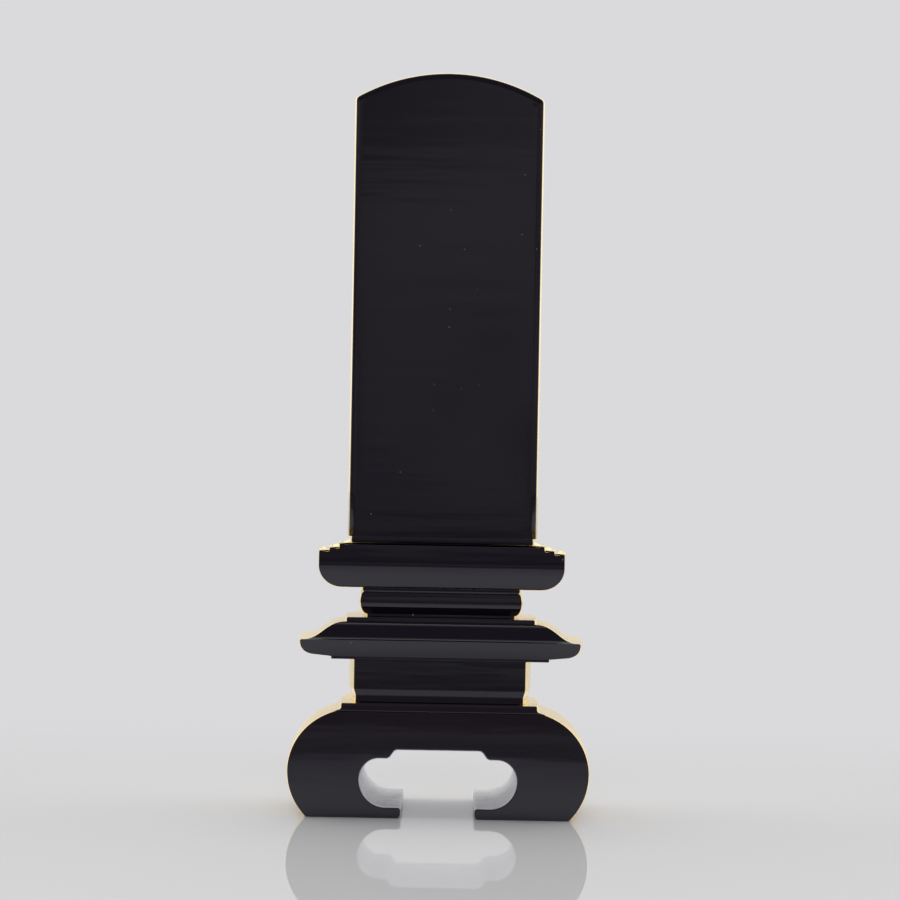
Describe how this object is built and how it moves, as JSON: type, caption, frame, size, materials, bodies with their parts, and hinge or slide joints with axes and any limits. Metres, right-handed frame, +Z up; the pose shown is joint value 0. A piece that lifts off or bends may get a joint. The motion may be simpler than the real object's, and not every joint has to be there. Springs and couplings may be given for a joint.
{
  "type": "buddhist memorial tablet",
  "caption": "Lacquered memorial tablet: a board with a domed top lifts out of a stacked lotus pedestal with a cloud-scroll foot, gilt on three sides, plain black back.",
  "frame": {"origin": "on the surface that the tablet stands on, under the middle of its bounding box", "axes": "+Z up; +Y towards the plain black back that the picture shows; -Y towards the carved and gilt front; +X to the right seen from the front"},
  "size_m": [0.0786, 0.0486, 0.1929],
  "materials": {
    "black_lacquer": "mirror-polished black lacquer over wood",
    "gold_leaf": "gold leaf over lacquered wood, satin",
    "silver_grey": "satin silver-grey paint, faintly speckled",
    "bare_wood": "unfinished softwood"
  },
  "bodies": {
    "pedestal": {"base_body": "black_lacquer", "base_cap": "black_lacquer", "waist_block": "black_lacquer", "shoulder_plate": "black_lacquer", "neck_roll": "black_lacquer", "lotus_bowl": "gold_leaf", "lotus_middle_petals": "gold_leaf", "lotus_upper_petals": "gold_leaf", "seed_pod_slab": "gold_leaf", "lower_dowel_left": "bare_wood", "lower_dowel_right": "bare_wood", "upper_dowel_left": "bare_wood", "upper_dowel_right": "bare_wood"},
    "tablet": {"tablet_board": "black_lacquer"}
  },
  "joints": [
    {"name": "tablet_lift", "type": "slide", "parent": "pedestal", "child": "tablet", "axis": [0, 0, 1], "range_m": [0, 0.012]}
  ]
}
